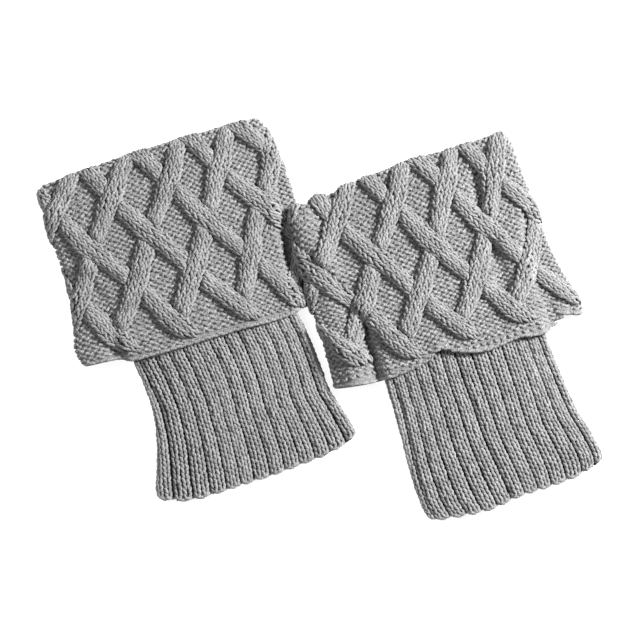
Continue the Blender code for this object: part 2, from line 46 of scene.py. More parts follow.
# Sizes in millimetres that the part's source has too
KNIT_WALL = 2.2
RIB_WALL = 3.0
FURROW_DEPTH = 1.3
SEAM_GAP = 0.3
SLIT_HALF = 0.4
RIB_OUT = SLIT_HALF + RIB_WALL
FLAP_IN = RIB_OUT + SEAM_GAP
FLAP_OUT = FLAP_IN + KNIT_WALL
STACK = 2 * FLAP_OUT
FOLD_RADIUS = (FLAP_OUT - SLIT_HALF) / 2
FOLD_MIDDLE = (FLAP_OUT + SLIT_HALF) / 2
CORNER_RADIUS = 6.0
SEAM_DOWN = 20.0
NARROW_MARGIN = 5.0
WIDE_MARGIN = 15.0
STILL_HALF = 20.0
WAVE_RISE = 0.4
STEP_DOWN_RUN = 14.0
PAIR_SHIFT = (0.63, 0.22)

# Half of the flap's front, to where it starts to turn under, and to the middle of its round edge
REACH = 72.0 - FLAP_OUT
HALF_ROUND = REACH + FLAP_OUT * math.pi / 2

# The cloth's soft form over the solids: low margins, a dome on each tube, and ribs that end in scallops
MARGIN_HEIGHT = 2.8
MARGIN_RADIUS = MARGIN_HEIGHT / 2
SLOPE_CLEAR = -1.0
FOLD_PROUD = 1.0
FLAP_DOME = 4.0
FLAP_DOME_RUN = 30.0
RIB_DOME = 2.4
RIB_DOME_END = 0.4
RIB_DOME_RUN = 40.0
RIB_HALF = 0.42
RIB_ROUND = 0.12
RIB_FALL = 1.6
FURROW_HALF = 0.24
EDGE_FURROW = 0.1
FURROW_CONTRAST = 2.4
SCALLOP = 1.1
SCALLOP_SHARE = 0.4

# The lattice of cables, the stitches that it is counted in, and how far a crossing's own drift reaches
REPEAT = 34.5
CROSSING_ROWS = 26.3
FIRST_CROSSING = -8.5
LAST_CROSSING = FIRST_CROSSING + 4 * CROSSING_ROWS
RISING_END = LAST_CROSSING + 4.5
FALLING_END = LAST_CROSSING + 10.5
STITCHES = 8
STITCH = REPEAT / STITCHES
ROW = CROSSING_ROWS / STITCHES
DRIFT_SPREAD = 13.0

# A cable's form: it is wider and higher where it lies on top at a crossing, and dips where it goes under
CABLE_HALF = 6.1
CABLE_RISE = 3.7
CABLE_FOOT = 0.5
CABLE_ROUND = 0.93
CABLE_WOBBLE = 0.6
CABLE_WIDER = 0.26
CABLE_NARROWER = -0.16
CABLE_HIGHER = 0.8
CABLE_UNDER = -1.3
CABLE_GONE = -1.5
CABLE_FOLD_FADE = 0.68
CABLE_WALES = 1.53
CABLE_STITCH_SINK = 0.62
CABLE_BEND_STRAY = 0.08
DIP_START = 4.8
DIP_RUN = 3.6
HIDDEN_WITHIN = 4.2
END_RUN = 6.0
PAST_ROUND = 4.0
CORE_SHARES = (-0.84, -0.72, -0.45, 0.0, 0.45, 0.72, 0.84)
CORE_DEPTH = 1.15

# The cloth that carries the loops: how far below the face it lies, and its pressed relief underneath
CLOTH_DEPTH = 0.98
EDGE_CLOTH_DEPTH = 0.85
CLOTH_THICK = 0.6
RIB_CLOTH_DEPTH = 1.55
RIB_GROOVE_SHARE = 0.8
PRESSED_RIB = 0.9
RIBS_ROUND = 2.2
LEG_DOWN = 19.0

# Loops of yarn: each bow is a tube of six rings of six points, left out where it would reach the floor
BOW_STEPS = 6
RING = 6
LOWEST_BOW = 0.9
RIB_ROW = 3.15
RIB_START = 14.0
WALE_SHARE = 0.45
WALE_OFFSET = 0.233
RIB_STEPS = (0.05, 0.25)
RIB_STITCH_SINK = 0.9
RIB_END_SINK = 0.35
LAST_RIB_ROW = 2.3
PAST_EDGE = 5.0
PURL_UNDER_CABLE = 3.2
PURL_TO_HEM = 2.9
PURL_SLANT = 0.16
BAND_YARN = 0.95
BAND_THIN = 0.75
CAST_OFF_YARN = 0.85
CAST_OFF_THIN = 0.7


class Loop(NamedTuple):
    """A kind of stitch: how far its yarn swings and reaches, in stitches, how much of it shows, the yarn's
    radius, the share of it left at a bow's ends, how far the bow's middle lifts, and how far stitches stray:
    in millimetres, but across as a share of the cable or rib that they are on."""

    face: str
    swing: float
    reach: float
    shown: float
    yarn: float
    thin: float
    bow: float
    stray_across: float
    stray_down: float
    stray_lift: float


PURL = Loop(
    face="purl", swing=0.13, reach=0.7, shown=0.36, yarn=1.0, thin=0.6,
    bow=0.28, stray_across=0.14, stray_down=0.15, stray_lift=0.15,
)
CABLE_KNIT = Loop(
    face="knit", swing=0.26, reach=0.8, shown=0.37, yarn=0.95, thin=0.55,
    bow=0.3, stray_across=0.035, stray_down=0.12, stray_lift=0.09,
)
RIB_KNIT = Loop(
    face="knit", swing=0.2, reach=0.8, shown=0.37, yarn=0.95, thin=0.55,
    bow=0.36, stray_across=0.016, stray_down=0.09, stray_lift=0.14,
)


class Chain(NamedTuple):
    """A row of bows along the flap's hem: its start in stitches, its place above the hem, depth and slant."""

    start: float
    inset: float
    depth: float
    slant: float


HEM_CHAINS = (
    Chain(start=0.0, inset=1.3, depth=1.15, slant=0.7),
    Chain(start=0.5, inset=1.0, depth=1.15, slant=-0.5),
    Chain(start=0.25, inset=0.8, depth=1.9, slant=0.3),
)


# The wool: its light and dark fibres, its contrasts, and the painted shade that darkens it deep between the
# stitches
LIGHT_WOOL = (0.46, 0.46, 0.464)
DARK_WOOL = (0.14, 0.14, 0.142)
FLECK_SCALE = 1050
FLECK_CONTRAST = 2.7
BROAD_SCALE = 45
BROAD_CONTRAST = 0.3
TONE_CONTRAST = 0.35
PLY_TURNS = 3.4
PLY_CONTRAST = 0.09
SHADE_LEVELS = {"From Min": 0.06, "From Max": 0.5, "To Min": 0.22, "To Max": 1.0}

# The stage and the picture, in metres: a photo of square pixels, to scale at the cloth's middle height
FLOOR_HALF = 2.5
FLOOR_BELOW = 0.0004
EYE_HEIGHT = 1.2
CLOTH_LEVEL = 0.008
PHOTO_PIXELS = 640
PIXEL = 0.0006


class Side(NamedTuple):
    """A tube's two outlines at one level."""

    down: float
    left: float
    right: float


class Edge(NamedTuple):
    """A point of an upper edge or a hem."""

    across: float
    down: float


class Furrow(NamedTuple):
    """A furrow between two ribs: its places across, and its depth against an even one."""

    at_waist: float
    at_hem: float
    depth: float


class Wave(NamedTuple):
    """A soft ridge, or with a height below zero a trough, that grows down the flap's front."""

    across: float
    start: float
    end: float
    half_width: float
    height: float


class Crease(NamedTuple):
    """A soft trough in the flap's front, straight from one place to another."""

    across: float
    down: float
    to_across: float
    to_down: float
    half_width: float
    height: float


class Drift(NamedTuple):
    """How far one crossing of the lattice, counted by row and column, lies from its even place."""

    row: int
    column: int
    across: float
    down: float


def drift_row(row, first_column, *moves):
    """The drifts, across and down, of one row's crossings from its first column on."""
    return [Drift(row, first_column + number, *move) for number, move in enumerate(moves)]


class Cuff(NamedTuple):
    """One cuff in its own frame, across and down from the middle of its top edge. `sinks` and `slope_runs`
    say how far and over what run the flap's front sinks beside the tube, on its left and on its right."""

    name: str
    top: tuple
    turn: float
    first_cable: float
    waist: float
    hem: float
    flap_sides: list
    flap_top: list
    flap_hem: list
    rib_sides: list
    rib_hem: list
    furrows: list
    waves: list
    drifts: list
    sinks: tuple
    slope_runs: tuple
    dome_fall_left: float
    creases: list


LEFT = Cuff(
    name="left",
    top=(-100.8, 97.2),
    turn=16.3,
    first_cable=1.8,
    waist=114.0,
    hem=200.0,
    flap_sides=[
        Side(0, -72.0, 71.0),
        Side(22, -72.0, 73.5),
        Side(42, -71.0, 76.0),
        Side(50, -70.0, 75.5),
        Side(58, -69.2, 73.5),
        Side(84, -71.8, 69.5),
        Side(97, -76.8, 67.0),
        Side(110, -74.0, 66.0),
    ],
    flap_top=[
        Edge(-66, -1.5),
        Edge(-36, -3.6),
        Edge(0, -5.2),
        Edge(30, -5.4),
        Edge(66, -4.6),
    ],
    flap_hem=[
        Edge(-74, 109.0),
        Edge(-51, 110.8),
        Edge(-44, 114.0),
        Edge(20, 114.0),
        Edge(45, 114.6),
        Edge(58, 113.8),
        Edge(66, 111.6),
    ],
    rib_sides=[
        Side(20, -69.4, 69.3),
        Side(46, -58.0, 63.0),
        Side(76, -46.0, 58.4),
        Side(114, -45.0, 58.0),
        Side(128, -43.4, 60.3),
        Side(147, -42.6, 62.2),
        Side(163, -45.2, 63.4),
        Side(172, -47.6, 66.2),
        Side(192, -54.0, 71.4),
        Side(202, -56.0, 71.6),
    ],
    rib_hem=[
        Edge(-56, 196.0),
        Edge(-42, 201.4),
        Edge(-30, 203.4),
        Edge(0, 202.8),
        Edge(30, 201.4),
        Edge(57, 198.4),
        Edge(71, 193.0),
    ],
    furrows=[
        Furrow(-42.0, -45.0, 1.25),
        Furrow(-31.6, -33.0, 1.0),
        Furrow(-23.2, -22.2, 1.0),
        Furrow(-14.2, -12.2, 1.0),
        Furrow(-5.6, -3.4, 0.7),
        Furrow(2.4, 5.0, 1.1),
        Furrow(11.4, 15.0, 1.0),
        Furrow(20.4, 24.2, 1.1),
        Furrow(28.6, 33.8, 0.8),
        Furrow(36.8, 43.4, 1.1),
        Furrow(44.8, 53.0, 1.0),
        Furrow(52.2, 63.6, 1.25),
    ],
    waves=[
        Wave(across=-63, start=66, end=125, half_width=12, height=2.0),
        Wave(across=-51, start=90, end=120, half_width=6, height=-1.0),
        Wave(across=30, start=90, end=125, half_width=14, height=0.8),
    ],
    drifts=[
        *drift_row(0, -2, (7.0, -4.5), (6.0, -3.2), (2.7, -3.7), (-2.2, -2.7)),
        *drift_row(1, -2, (2.5, -1.0), (3.6, -0.4), (3.8, 0.5), (0.6, 1.1), (-1.3, -0.4)),
        *drift_row(2, -2, (-0.5, -1.1), (2.1, -0.6), (2.2, 0.0), (0.5, -1.1)),
        *drift_row(3, -2, (-0.2, 0.7), (2.2, 0.6), (4.6, 1.8), (5.2, 4.0)),
        *drift_row(4, -2, (1.3, 0.9), (3.0, 3.2), (8.3, 3.8), (9.6, 4.2)),
    ],
    sinks=(0.2, 1.0),
    slope_runs=(6.5, 4.2),
    dome_fall_left=0.0,
    creases=[],
)

RIGHT = Cuff(
    name="right",
    top=(49.2, 89.4),
    turn=18.1,
    first_cable=-12.0,
    waist=118.0,
    hem=204.0,
    flap_sides=[
        Side(0, -72.6, 68.0),
        Side(24, -75.3, 68.7),
        Side(48, -76.9, 69.9),
        Side(72, -77.4, 71.0),
        Side(96, -78.8, 75.4),
        Side(112, -80.0, 78.2),
    ],
    flap_top=[
        Edge(-66, 2.6),
        Edge(-45, 0.8),
        Edge(-20, -1.8),
        Edge(5, -3.8),
        Edge(34, -2.6),
        Edge(60, -2.8),
    ],
    flap_hem=[
        Edge(-81, 110.0),
        Edge(-63, 113.6),
        Edge(-45, 116.0),
        Edge(-27, 114.2),
        Edge(-12, 108.8),
        Edge(0, 114.8),
        Edge(12, 118.2),
        Edge(34, 117.0),
        Edge(48, 119.3),
        Edge(61, 112.4),
        Edge(70, 115.4),
    ],
    rib_sides=[
        Side(20, -70.0, 65.7),
        Side(46, -57.0, 58.6),
        Side(76, -47.2, 52.4),
        Side(100, -47.0, 51.9),
        Side(118, -48.8, 51.6),
        Side(144, -49.5, 53.4),
        Side(168, -51.3, 55.8),
        Side(186, -51.6, 60.0),
        Side(198, -50.8, 61.8),
        Side(208, -47.4, 60.0),
    ],
    rib_hem=[
        Edge(-48, 204.6),
        Edge(-34, 207.0),
        Edge(-13, 209.0),
        Edge(8, 206.8),
        Edge(42, 206.6),
        Edge(60, 202.0),
    ],
    furrows=[
        Furrow(-44.0, -46.2, 1.2),
        Furrow(-37.0, -37.0, 1.0),
        Furrow(-29.6, -27.8, 1.0),
        Furrow(-21.4, -18.4, 1.0),
        Furrow(-12.4, -8.4, 1.0),
        Furrow(-4.0, 1.2, 1.35),
        Furrow(5.4, 10.2, 1.0),
        Furrow(14.8, 18.6, 1.0),
        Furrow(24.0, 27.2, 1.0),
        Furrow(32.8, 36.8, 0.9),
        Furrow(40.0, 47.2, 1.1),
        Furrow(46.8, 55.4, 1.2),
    ],
    waves=[
        Wave(across=-66, start=-12, end=40, half_width=15, height=4.0),
        Wave(across=-64, start=70, end=130, half_width=13, height=1.8),
        Wave(across=-12, start=92, end=130, half_width=8, height=1.8),
        Wave(across=66, start=98, end=130, half_width=6, height=2.0),
    ],
    drifts=[
        *drift_row(0, -2, (4.0, -7.0), (3.2, -5.6), (-0.1, -4.0), (-3.8, -4.7), (-2.0, -5.0)),
        *drift_row(1, -1, (0.8, -0.5), (0.3, 0.6), (-0.7, 0.6), (-4.7, 1.8)),
        *drift_row(2, -2, (-0.9, -1.6), (-1.9, 1.1), (-1.7, 2.9), (-1.3, 3.5), (-0.2, 5.5)),
        *drift_row(3, -1, (-0.7, 0.7), (-0.9, 3.7), (-1.1, 5.8), (-1.1, 6.7)),
        *drift_row(4, -2, (5.1, -3.5), (-2.5, 2.5), (-2.4, 1.6), (-3.1, 2.3), (-2.1, 6.0)),
    ],
    sinks=(0.35, 0.7),
    slope_runs=(6.5, 6.5),
    dome_fall_left=0.7,
    creases=[
        Crease(across=40.5, down=17, to_across=37, to_down=38, half_width=6.0, height=-2.5),
        Crease(across=37.5, down=58, to_across=36, to_down=84, half_width=8.0, height=-2.8),
        Crease(across=-50, down=76, to_across=-51, to_down=118, half_width=5.0, height=-3.6),
    ],
)


# Shape functions: each takes arrays and gives arrays


def smooth(x):
    """A soft step from 0 at x = 0 to 1 at x = 1."""
    x = np.clip(x, 0.0, 1.0)
    return x * x * (3 - 2 * x)


def blend(a, b, share):
    return a + (b - a) * share


def through(rows, value, measure, at):
    """Reads `value` off a smooth line through the rows, at places along `measure`, level past both ends."""
    places = np.array([getattr(row, measure) for row in rows], float)
    levels = np.array([getattr(row, value) for row in rows], float)
    before = np.maximum(np.arange(len(places)) - 1, 0)
    after = np.minimum(np.arange(len(places)) + 1, len(places) - 1)
    slopes = (levels[after] - levels[before]) / (places[after] - places[before])
    at = np.clip(at, places[0], places[-1])
    k = np.clip(np.searchsorted(places, at, side="right") - 1, 0, len(places) - 2)
    run = places[k + 1] - places[k]
    t = (at - places[k]) / run
    return (
        (2 * t**3 - 3 * t**2 + 1) * levels[k]
        + (t**3 - 2 * t**2 + t) * slopes[k] * run
        + (3 * t**2 - 2 * t**3) * levels[k + 1]
        + (t**3 - t**2) * slopes[k + 1] * run
    )


def sides(rows, down):
    return through(rows, "left", "down", down), through(rows, "right", "down", down)


def edge_line(rows, across):
    return through(rows, "down", "across", across)


def flap_slope(cuff, across, flap_edges, rib_edges):
    """How far the flap's front sinks beside the ribbed tube, towards its lower margins."""
    sunk = 0.0
    beside = zip((-1, 1), flap_edges, rib_edges, cuff.sinks, cuff.slope_runs)
    for side, flap_edge, rib_edge, sink, most in beside:
        margin = np.abs(flap_edge - rib_edge)
        share = sink * smooth((margin - NARROW_MARGIN) / (WIDE_MARGIN - NARROW_MARGIN))
        run = np.clip(margin - MARGIN_RADIUS - SLOPE_CLEAR, 1, most)
        beyond = side * (across - rib_edge) - SLOPE_CLEAR
        sunk = np.maximum(sunk, (STACK - MARGIN_HEIGHT) * share * smooth(beyond / run))
    return sunk


def flap_front(cuff, across, down, flap_edges, rib_edges):
    """The height of the flap's plain front surface."""
    lift = 0.0
    for wave in cuff.waves:
        near = np.maximum(1 - ((across - wave.across) / wave.half_width) ** 2, 0) ** 2
        grown = smooth((down - wave.start) / (wave.end - wave.start) / WAVE_RISE)
        lift = lift + wave.height * near * grown
    for crease in cuff.creases:
        run_across, run_down = crease.to_across - crease.across, crease.to_down - crease.down
        part = (across - crease.across) * run_across + (down - crease.down) * run_down
        part = np.clip(part / (run_across**2 + run_down**2), 0, 1)
        aside = np.hypot(across - crease.across - part * run_across, down - crease.down - part * run_down)
        lift = lift + crease.height * np.maximum(1 - (aside / crease.half_width) ** 2, 0) ** 2
    return STACK - flap_slope(cuff, across, flap_edges, rib_edges) + lift


def fold_line(cuff, round_place):
    """How far down the middle of the fold is, at a place round the tube."""
    away = np.abs(round_place)
    side = np.where(round_place > 0, 1, -1)
    turn = np.clip((away - REACH) / FLAP_OUT, 0, math.pi / 2)
    inward = np.where(away > REACH, FLAP_OUT * (1 - np.sin(turn)), FLAP_OUT + REACH - away)
    across = side * (REACH + FLAP_OUT - inward)
    within = np.clip(CORNER_RADIUS - inward, 0, CORNER_RADIUS)
    corner = CORNER_RADIUS - np.sqrt(CORNER_RADIUS**2 - within**2)
    return edge_line(cuff.flap_top, across) + corner + FOLD_RADIUS - FOLD_PROUD


def over_place(round_place):
    """The place on the front that lies right over a place under the back."""
    away = np.abs(round_place)
    return np.where(away > HALF_ROUND, np.sign(round_place) * (2 * HALF_ROUND - away), round_place)


def flap_surface(cuff, round_place, knit_down, depth=0.0):
    """A point of the flap's cloth. `round_place` runs from the middle of the front, past the round edges and
    on under the back. `knit_down` runs from over the fold down to the hem, and `depth` is below the face."""
    round_place, knit_down, depth = np.broadcast_arrays(
        np.asarray(round_place, float), np.asarray(knit_down, float), np.asarray(depth, float)
    )
    fold = fold_line(cuff, over_place(round_place))
    turn = np.clip((fold - knit_down) / FOLD_RADIUS, 0, math.pi)
    reach_out = FOLD_RADIUS - depth
    over = turn > 0
    down = np.where(over, fold - reach_out * np.sin(turn), knit_down)
    past = np.maximum((fold - knit_down) - math.pi * FOLD_RADIUS, 0)
    down = down + past
    sink = np.where(over, FLAP_OUT - FOLD_MIDDLE - reach_out * np.cos(turn), depth)
    flap_edges = sides(cuff.flap_sides, down)
    rib_edges = sides(cuff.rib_sides, np.maximum(down, SEAM_DOWN))
    middles, radii = [], []
    for side, edge in zip((-1, 1), flap_edges):
        sunk = flap_slope(cuff, edge - side * MARGIN_RADIUS, flap_edges, rib_edges)
        radii.append((STACK - sunk) / 2)
        middles.append(edge - side * radii[-1])
    side = np.where(round_place > 0, 1, -1)
    middle = np.where(side > 0, middles[1], middles[0])
    radius = np.where(side > 0, radii[1], radii[0])
    half = side * middle + radius * math.pi / 2
    away = np.abs(round_place)
    run = HALF_ROUND - STILL_HALF
    wider = smooth((away - STILL_HALF) / run) + smooth((away - HALF_ROUND) / run)
    along = away + (half - HALF_ROUND) * wider
    flat_run = side * middle
    turned = np.clip((along - flat_run) / radius, 0, math.pi)
    beyond = np.maximum(along - flat_run - math.pi * radius, 0)
    rounded = radius - sink
    across_front = side * np.minimum(along, flat_run)
    across_edge = middle + side * rounded * np.sin(turned)
    risen = FLAP_DOME * smooth((down - fold) / FLAP_DOME_RUN)
    share = across_front / np.abs(middle)
    dome = risen * (1 - np.where(share > 0, 1.0, cuff.dome_fall_left) * share**2)
    front = flap_front(cuff, across_front, down, flap_edges, rib_edges) + dome - sink
    edge_top = flap_front(cuff, middle, down, flap_edges, rib_edges)
    edge_top = edge_top + np.where(side > 0, 0.0, risen * (1 - cuff.dome_fall_left))
    edge_up = radius + rounded * np.cos(turned) + (edge_top - 2 * radius) * (0.5 + 0.5 * np.cos(turned))
    on_front, on_back = along <= flat_run, beyond > 0
    across = np.where(on_front, across_front, np.where(on_back, side * (flat_run - beyond), across_edge))
    up = np.where(on_front, front, np.where(on_back, sink, edge_up))
    return np.stack([across, down, up], axis=-1)


def step_down(cuff):
    """Where the ribbed tube, clear of the flap's hem, starts to come down to the surface."""
    return max(row.down for row in cuff.flap_hem) + SEAM_GAP


def rib_run(cuff, down):
    left, right = sides(cuff.rib_sides, down)
    return left + RIB_OUT, right - RIB_OUT


def rib_surface(cuff, rib_place, down, depth=0.0):
    """A point of the ribbed tube. `rib_place` counts furrows from the first one. Past the first and the last
    it goes on in ribs, over the round edges and under the back. `depth` is below the ribs' crowns."""
    rib_place, down, depth = np.broadcast_arrays(
        np.asarray(rib_place, float), np.asarray(down, float), np.asarray(depth, float)
    )
    count = len(cuff.furrows)
    share = smooth((down - cuff.waist) / (cuff.hem - cuff.waist))
    start, end = rib_run(cuff, down)
    waist_start, waist_end = (float(x) for x in rib_run(cuff, cuff.waist))
    hem_start, hem_end = (float(x) for x in rib_run(cuff, cuff.hem))
    at_waist = (np.array([row.at_waist for row in cuff.furrows]) - waist_start) / (waist_end - waist_start)
    at_hem = (np.array([row.at_hem for row in cuff.furrows]) - hem_start) / (hem_end - hem_start)
    numbers = np.arange(count)
    inside = np.clip(rib_place, 0, count - 1)
    part = blend(np.interp(inside, numbers, at_waist), np.interp(inside, numbers, at_hem), share)
    width = (end - start) / (count - 1)
    past = np.where(rib_place < 0, -rib_place, np.maximum(rib_place - (count - 1), 0)) * width
    side = np.where(rib_place < (count - 1) / 2, -1, 1)
    corner = np.where(side > 0, end, start)
    inner = blend(start, end, part)
    along = side * (inner - corner) + past
    turned = np.clip(along / RIB_OUT, 0, math.pi)
    beyond = np.maximum(along - math.pi * RIB_OUT, 0)
    middle = blend(FLAP_OUT, RIB_OUT, smooth((down - step_down(cuff)) / STEP_DOWN_RUN))
    reach_out = RIB_OUT - depth
    outside = np.where(along > 0, reach_out * np.sin(turned), along)
    across = np.where(beyond > 0, corner - side * beyond, corner + side * outside)
    flatter = (1 - RIB_DOME_END) * smooth((down - cuff.hem + RIB_DOME_RUN) / RIB_DOME_RUN)
    dome = RIB_DOME * np.maximum(1 - (2 * part - 1) ** 2, 0) * (1 - flatter)
    up = middle + reach_out * np.cos(turned) + np.where(along > 0, 0, dome)
    return np.stack([across, down + 0 * up, up], axis=-1)


def furrow_depth(cuff, rib_place):
    """How far the cloth sinks between ribs: 0 on the crowns and the furrow's own depth at each furrow."""
    gap = np.abs(rib_place - np.rint(rib_place))
    furrow = FURROW_DEPTH * furrow_share(cuff, rib_place) * (1 - smooth(gap / FURROW_HALF))
    return furrow + 0.2 * (1 - smooth(gap / 0.4))


def furrow_share(cuff, rib_place):
    """How deep the nearest furrow is, against an even one. The photo's furrows differ much."""
    depths = np.array([EDGE_FURROW, *[row.depth**FURROW_CONTRAST for row in cuff.furrows], EDGE_FURROW])
    return depths[np.clip(np.rint(rib_place) + 1, 0, len(depths) - 1).astype(int)]


def with_normals(surface, first, second, lift, steps=(0.25, 0.25), depth=0.0):
    """Points lifted by `lift` off a surface that lies `depth` below its face, and the directions out."""
    here = surface(first, second, depth)
    across = surface(first + steps[0], second) - surface(first - steps[0], second)
    along = surface(first, second + steps[1]) - surface(first, second - steps[1])
    out = np.cross(across, along)
    out /= np.maximum(np.linalg.norm(out, axis=-1, keepdims=True), 1e-9)
    return here + out * np.asarray(lift)[..., None], out


# Meshes


def to_metres(points):
    """From a cuff's own frame, with down along -Y, to metres."""
    return np.asarray(points) * (MM, -MM, MM)


def mesh_piece(name, cuff, points, faces, sizes, attributes):
    """A piece from arrays: points in the cuff's frame, all faces' corners in a row, and each face's count."""
    mesh = bpy.data.meshes.new(name)
    points[:, 2] = np.maximum(points[:, 2], 0)
    mesh.vertices.add(len(points))
    mesh.vertices.foreach_set("co", to_metres(points).astype(np.float32).ravel())
    mesh.loops.add(len(faces))
    mesh.loops.foreach_set("vertex_index", faces.astype(np.int32))
    mesh.polygons.add(len(sizes))
    starts = np.concatenate([[0], np.cumsum(sizes)[:-1]]).astype(np.int32)
    mesh.polygons.foreach_set("loop_start", starts)
    mesh.update(calc_edges=True)
    mesh.validate()
    for label, values in attributes.items():
        layer = mesh.attributes.new(label, "FLOAT", "POINT")
        layer.data.foreach_set("value", values.astype(np.float32).ravel())
    mesh.shade_smooth()
    piece = bpy.data.objects.new(name, mesh)
    bpy.context.scene.collection.objects.link(piece)
    piece.location = ((cuff.top[0] - PAIR_SHIFT[0]) * MM, (cuff.top[1] - PAIR_SHIFT[1]) * MM, 0)
    piece.rotation_euler = (0, 0, math.radians(cuff.turn))
    return piece


def loops_mesh(lines, outs, radii, tones):
    """Closed tubes of yarn along many short lines: their points, faces and attributes."""
    count, steps = lines.shape[:2]
    heading = np.gradient(lines, axis=1)
    heading /= np.linalg.norm(heading, axis=-1, keepdims=True)
    beside = np.cross(heading, outs)
    beside /= np.maximum(np.linalg.norm(beside, axis=-1, keepdims=True), 1e-9)
    outward = np.cross(beside, heading)
    angles = 2 * math.pi * np.arange(RING) / RING
    ring = beside[:, :, None] * np.cos(angles)[:, None] + outward[:, :, None] * np.sin(angles)[:, None]
    points = lines[:, :, None] + ring * radii[:, :, None, None]
    index = np.arange(count * steps * RING).reshape(count, steps, RING)
    following = np.roll(index, -1, axis=2)
    quads = np.stack([index[:, :-1], following[:, :-1], following[:, 1:], index[:, 1:]], axis=-1)
    caps = np.stack([index[:, 0, ::-1], index[:, -1]], axis=1)
    faces = np.concatenate([quads.reshape(-1), caps.reshape(-1)])
    sizes = np.concatenate([np.full(quads.size // 4, 4), np.full(caps.size // RING, RING)])
    along = np.cumsum(np.linalg.norm(np.diff(lines, axis=1, prepend=lines[:, :1]), axis=-1), axis=1)
    shape = (count, steps, RING)
    # Painted shade: the last attribute below darkens each yarn on its underside and towards its sunk ends,
    # and leaves its top lightest
    swell = np.sin(math.pi * (np.arange(steps) + 0.5) / steps)
    attributes = {
        "tone": np.broadcast_to(tones[:, None, None], shape),
        "along": np.broadcast_to(along[:, :, None], shape),
        "ring_cos": np.broadcast_to(np.cos(angles), shape),
        "ring_sin": np.broadcast_to(np.sin(angles), shape),
        "painted_shade_factor": np.broadcast_to(0.5 + 0.5 * np.sin(angles), shape) * swell[:, None],
    }
    return points.reshape(-1, 3), faces, sizes, attributes


def joined(parts):
    """Several sets of points, faces, sizes and attributes as one."""
    offsets = np.cumsum([0, *[len(part[0]) for part in parts[:-1]]])
    points = np.concatenate([part[0] for part in parts])
    faces = np.concatenate([part[1] + offset for part, offset in zip(parts, offsets)])
    sizes = np.concatenate([part[2] for part in parts])
    names = parts[0][3]
    attributes = {name: np.concatenate([np.ravel(part[3][name]) for part in parts]) for name in names}
    return points, faces, sizes, attributes


def closed_grid(grid, painted_shade_factor):
    """A wall from rings that go once round it, closed both ways: grid is (rows, columns, 3)."""
    rows, columns = grid.shape[:2]
    index = np.arange(rows * columns).reshape(rows, columns)
    below = np.roll(index, -1, axis=0)
    quads = np.stack([index, below, np.roll(below, -1, axis=1), np.roll(index, -1, axis=1)], axis=-1)
    attributes = plain_attributes((rows, columns), painted_shade_factor)
    return grid.reshape(-1, 3), quads.reshape(-1), np.full(rows * columns, 4), attributes


def plain_attributes(shape, painted_shade_factor):
    """The attributes of cloth that isn't drawn loop by loop."""
    attributes = {name: np.zeros(shape) for name in ("along", "ring_cos", "ring_sin")}
    # Painted shade: one darkening level, given by the caller, for a sheet of cloth
    return {**attributes, "tone": np.full(shape, 0.5), "painted_shade_factor": np.zeros(shape) + painted_shade_factor}


def loop_lines(loop):
    """One stitch's two bows of yarn, seen from its face: offsets across and along in stitches, and lift from
    -1 to 1. Purl shows the loop's head and foot, and knit shows its two legs."""
    steps = np.linspace(-loop.shown, loop.shown, BOW_STEPS) * math.pi
    middles = (0.0, math.pi) if loop.face == "purl" else (-math.pi / 2, math.pi / 2)
    bows = []
    for middle in middles:
        t = middle + steps
        across = t / (2 * math.pi) + loop.swing * np.sin(2 * t)
        bows.append(np.stack([across, loop.reach * np.cos(t), np.cos(2 * steps)], axis=-1))
    return np.array(bows)


def bow_radii(yarn, thin, count, rng):
    """The yarn's radius along each bow: full in the middle and thin at its sunk ends."""
    swell = np.sin(math.pi * (np.arange(BOW_STEPS) + 0.5) / BOW_STEPS)
    return yarn * (thin + (1 - thin) * swell) * (1 + rng.normal(0, 0.06, (count, 1)))


def bows_on(surface, x, y, lift, loop, rng, depth=0.0):
    """Bows along lines on a surface, without those that would reach the surface that the cuffs lie on."""
    place, out = with_normals(surface, x, y, lift, depth=depth)
    clear = place[:, :, 2].min(axis=1) > LOWEST_BOW
    count = int(clear.sum())
    radii = bow_radii(loop.yarn, loop.thin, count, rng)
    return loops_mesh(place[clear], out[clear], radii, rng.random(count))


# The flap's stitches


def drifted(cuff, round_place, knit_down):
    """Where a place of the even lattice really lies: each crossing has drifted, and the knit goes along."""
    weights, across, down = 0.0, 0.0, 0.0
    for drift in cuff.drifts:
        place = cuff.first_cable + REPEAT * (drift.column + 0.5 * ((drift.row + 1) % 2))
        level = FIRST_CROSSING + CROSSING_ROWS * drift.row
        away = (round_place - place) ** 2 + (knit_down - level) ** 2
        weight = np.exp(-away / (2 * DRIFT_SPREAD**2)) + 1e-12
        weights = weights + weight
        across = across + weight * drift.across
        down = down + weight * drift.down
    return round_place + across / weights, knit_down + down / weights


def knit_surface(cuff):
    """The flap's surface, read at places of the even lattice."""

    def surface(round_place, knit_down, depth=0.0):
        return flap_surface(cuff, *drifted(cuff, round_place, knit_down), depth)

    return surface


def cable_share(cuff, round_place, knit_down):
    """How far the nearest cable of each slant is, across, in millimetres."""
    column = (round_place - cuff.first_cable) / REPEAT
    row = (knit_down - FIRST_CROSSING) / CROSSING_ROWS
    falling = ((column - row / 2) % 1 - 0.5) * REPEAT
    rising = ((column + row / 2) % 1 - 0.5) * REPEAT
    return falling, rising


def round_edge(round_place):
    """1 on the flap's round edges and 0 on its flat front."""
    return smooth((np.abs(round_place) - REACH + 1) / (HALF_ROUND - REACH - 1))


